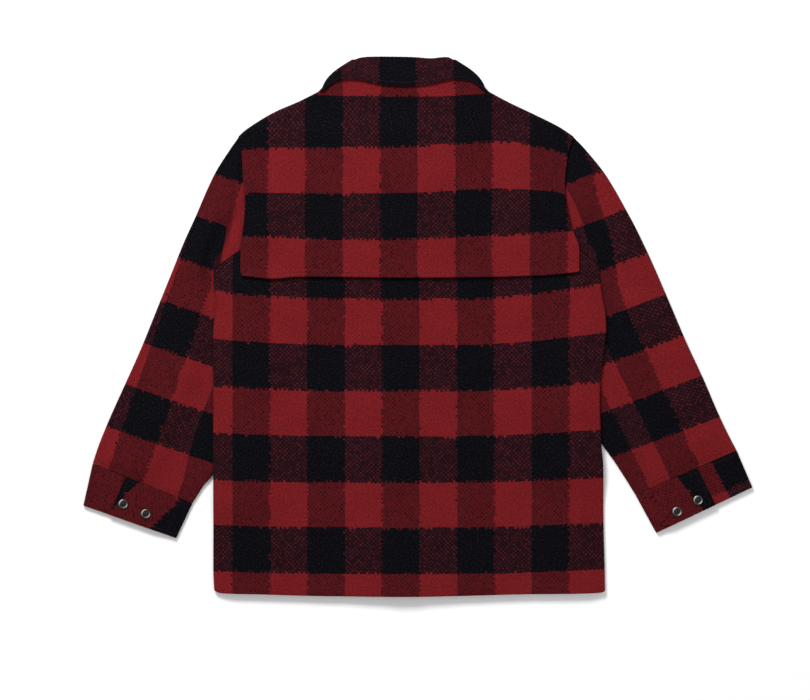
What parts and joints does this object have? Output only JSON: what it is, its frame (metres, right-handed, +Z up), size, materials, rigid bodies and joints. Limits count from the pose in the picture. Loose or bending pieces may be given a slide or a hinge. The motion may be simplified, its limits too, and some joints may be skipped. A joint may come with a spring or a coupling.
{
  "type": "shirt jacket",
  "caption": "Wool shirt jacket in red and black buffalo check, laid flat with its back up: free back cape, turned-down collar, long sleeves and snap cuffs.",
  "frame": {"origin": "on the surface that the jacket lies on, under the middle of its outline", "axes": "+X to the right as seen from above, +Y towards the collar, +Z up, away from the surface"},
  "size_m": [1.0264, 0.8282, 0.0162],
  "materials": {
    "wool_check": "matt, napped",
    "snap_metal": "antique nickel, satin"
  },
  "bodies": {
    "root": {"back_panel": "wool_check", "back_cape": "wool_check", "front_left": "wool_check", "front_right": "wool_check", "collar_leaf": "wool_check", "collar_stand": "wool_check", "sleeve_left": "wool_check", "sleeve_right": "wool_check", "cuff_left": "wool_check", "cuff_right": "wool_check", "cuff_snap_left_1": "snap_metal", "cuff_snap_left_2": "snap_metal", "cuff_snap_right_1": "snap_metal", "cuff_snap_right_2": "snap_metal", "front_snap_1": "snap_metal", "front_snap_2": "snap_metal", "front_snap_3": "snap_metal", "front_snap_4": "snap_metal", "front_snap_5": "snap_metal", "front_snap_6": "snap_metal", "front_snap_7": "snap_metal"}
  },
  "joints": []
}
